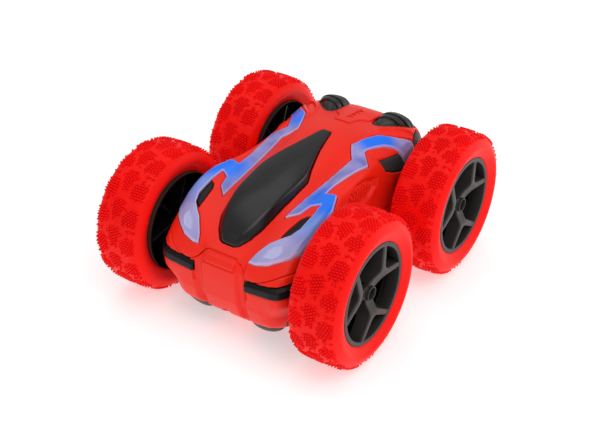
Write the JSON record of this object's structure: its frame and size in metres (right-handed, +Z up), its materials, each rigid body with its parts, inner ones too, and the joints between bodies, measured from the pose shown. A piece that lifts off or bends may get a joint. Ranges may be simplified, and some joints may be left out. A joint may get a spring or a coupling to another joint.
{
  "type": "rc stunt car",
  "caption": "Double-sided radio-controlled stunt car with studded tyres, geared side drives, light strips and a low two-shell body.",
  "frame": {"origin": "on the ground, under the middle of the car", "axes": "+X to the nose, +Y to the car's left along the axles, +Z up"},
  "size_m": [0.1634, 0.1402, 0.075],
  "materials": {
    "body_red": "satin",
    "canopy_black": "satin",
    "light_strip": "translucent",
    "trim_black": "satin",
    "trim_grey": "satin",
    "tyre_red": "matte",
    "rim_charcoal": "satin",
    "gear_white": "moulded",
    "steel": "machined",
    "bronze": "machined",
    "frame_black": "moulded",
    "battery_wrap": "shrink wrap",
    "board_green": "solder mask",
    "switch_black": "moulded",
    "socket_metal": "plated"
  },
  "bodies": {
    "car": {"axle_bushes": "bronze", "battery_pack": "battery_wrap", "charge_socket": "socket_metal", "chassis_frame": "frame_black", "circuit_board": "board_green", "gear_pins": "steel", "gearbox_cover_left": "frame_black", "gearbox_cover_right": "frame_black", "lamp_boards": "board_green", "lower_bumper_strips": "trim_black", "lower_canopy": "canopy_black", "lower_exhaust_humps": "trim_grey", "lower_fender_inserts": "trim_grey", "lower_hatch": "body_red", "lower_light_strip_left": "light_strip", "lower_light_strip_right": "light_strip", "lower_shell": "body_red", "lower_windows": "trim_black", "motor_left": "steel", "motor_right": "steel", "power_switch": "switch_black", "shell_screws": "steel", "upper_bumper_strips": "trim_black", "upper_canopy": "canopy_black", "upper_exhaust_humps": "trim_grey", "upper_fender_inserts": "trim_grey", "upper_hatch": "body_red", "upper_light_strip_left": "light_strip", "upper_light_strip_right": "light_strip", "upper_shell": "body_red", "upper_windows": "trim_black"},
    "power_slider": {"switch_slider": "switch_black"},
    "wheel_front_left": {"tyre_front_left": "tyre_red", "rim_front_left": "rim_charcoal", "axle_front_left": "steel", "wheel_screw_front_left": "steel", "axle_gear_front_left": "gear_white"},
    "idler_front_left": {"idler_gear_front_left": "gear_white"},
    "wheel_rear_left": {"tyre_rear_left": "tyre_red", "rim_rear_left": "rim_charcoal", "axle_rear_left": "steel", "wheel_screw_rear_left": "steel", "axle_gear_rear_left": "gear_white"},
    "idler_rear_left": {"idler_gear_rear_left": "gear_white"},
    "drive_left": {"drive_gear_left": "gear_white"},
    "armature_left": {"motor_pinion_left": "steel"},
    "wheel_front_right": {"tyre_front_right": "tyre_red", "rim_front_right": "rim_charcoal", "axle_front_right": "steel", "wheel_screw_front_right": "steel", "axle_gear_front_right": "gear_white"},
    "idler_front_right": {"idler_gear_front_right": "gear_white"},
    "wheel_rear_right": {"tyre_rear_right": "tyre_red", "rim_rear_right": "rim_charcoal", "axle_rear_right": "steel", "wheel_screw_rear_right": "steel", "axle_gear_rear_right": "gear_white"},
    "idler_rear_right": {"idler_gear_rear_right": "gear_white"},
    "drive_right": {"drive_gear_right": "gear_white"},
    "armature_right": {"motor_pinion_right": "steel"}
  },
  "joints": [
    {"name": "wheel_front_left_spin", "type": "hinge", "parent": "car", "child": "wheel_front_left", "pos_m": [0.04425, 0, 0.0375], "axis": [0, 1, 0], "continuous": true},
    {"name": "idler_front_left_spin", "type": "hinge", "parent": "car", "child": "idler_front_left", "pos_m": [0.02025, 0, 0.0375], "axis": [0, 1, 0], "continuous": true},
    {"name": "wheel_rear_left_spin", "type": "hinge", "parent": "car", "child": "wheel_rear_left", "pos_m": [-0.04425, 0, 0.0375], "axis": [0, 1, 0], "continuous": true},
    {"name": "idler_rear_left_spin", "type": "hinge", "parent": "car", "child": "idler_rear_left", "pos_m": [-0.02025, 0, 0.0375], "axis": [0, 1, 0], "continuous": true},
    {"name": "drive_left_spin", "type": "hinge", "parent": "car", "child": "drive_left", "pos_m": [0, 0, 0.0375], "axis": [0, 1, 0], "continuous": true},
    {"name": "armature_left_spin", "type": "hinge", "parent": "car", "child": "armature_left", "pos_m": [-0.01754, 0, 0.04763], "axis": [0, 1, 0], "continuous": true},
    {"name": "wheel_front_right_spin", "type": "hinge", "parent": "car", "child": "wheel_front_right", "pos_m": [0.04425, 0, 0.0375], "axis": [0, 1, 0], "continuous": true},
    {"name": "idler_front_right_spin", "type": "hinge", "parent": "car", "child": "idler_front_right", "pos_m": [0.02025, 0, 0.0375], "axis": [0, 1, 0], "continuous": true},
    {"name": "wheel_rear_right_spin", "type": "hinge", "parent": "car", "child": "wheel_rear_right", "pos_m": [-0.04425, 0, 0.0375], "axis": [0, 1, 0], "continuous": true},
    {"name": "idler_rear_right_spin", "type": "hinge", "parent": "car", "child": "idler_rear_right", "pos_m": [-0.02025, 0, 0.0375], "axis": [0, 1, 0], "continuous": true},
    {"name": "drive_right_spin", "type": "hinge", "parent": "car", "child": "drive_right", "pos_m": [0, 0, 0.0375], "axis": [0, 1, 0], "continuous": true},
    {"name": "armature_right_spin", "type": "hinge", "parent": "car", "child": "armature_right", "pos_m": [0.01754, 0, 0.04763], "axis": [0, 1, 0], "continuous": true},
    {"name": "power_switch_slide", "type": "slide", "parent": "car", "child": "power_slider", "axis": [0, 1, 0], "range_m": [0, 0.004]}
  ],
  "couplings": [
    {"joint": "idler_front_left_spin", "follows": "wheel_front_left_spin", "ratio": -1.6667},
    {"joint": "idler_rear_left_spin", "follows": "wheel_front_left_spin", "ratio": -1.6667},
    {"joint": "drive_left_spin", "follows": "wheel_front_left_spin", "ratio": 1.3333},
    {"joint": "armature_left_spin", "follows": "wheel_front_left_spin", "ratio": -5.8667},
    {"joint": "wheel_rear_left_spin", "follows": "wheel_front_left_spin", "ratio": 1},
    {"joint": "idler_front_right_spin", "follows": "wheel_front_right_spin", "ratio": -1.6667},
    {"joint": "idler_rear_right_spin", "follows": "wheel_front_right_spin", "ratio": -1.6667},
    {"joint": "drive_right_spin", "follows": "wheel_front_right_spin", "ratio": 1.3333},
    {"joint": "armature_right_spin", "follows": "wheel_front_right_spin", "ratio": -5.8667},
    {"joint": "wheel_rear_right_spin", "follows": "wheel_front_right_spin", "ratio": 1}
  ]
}
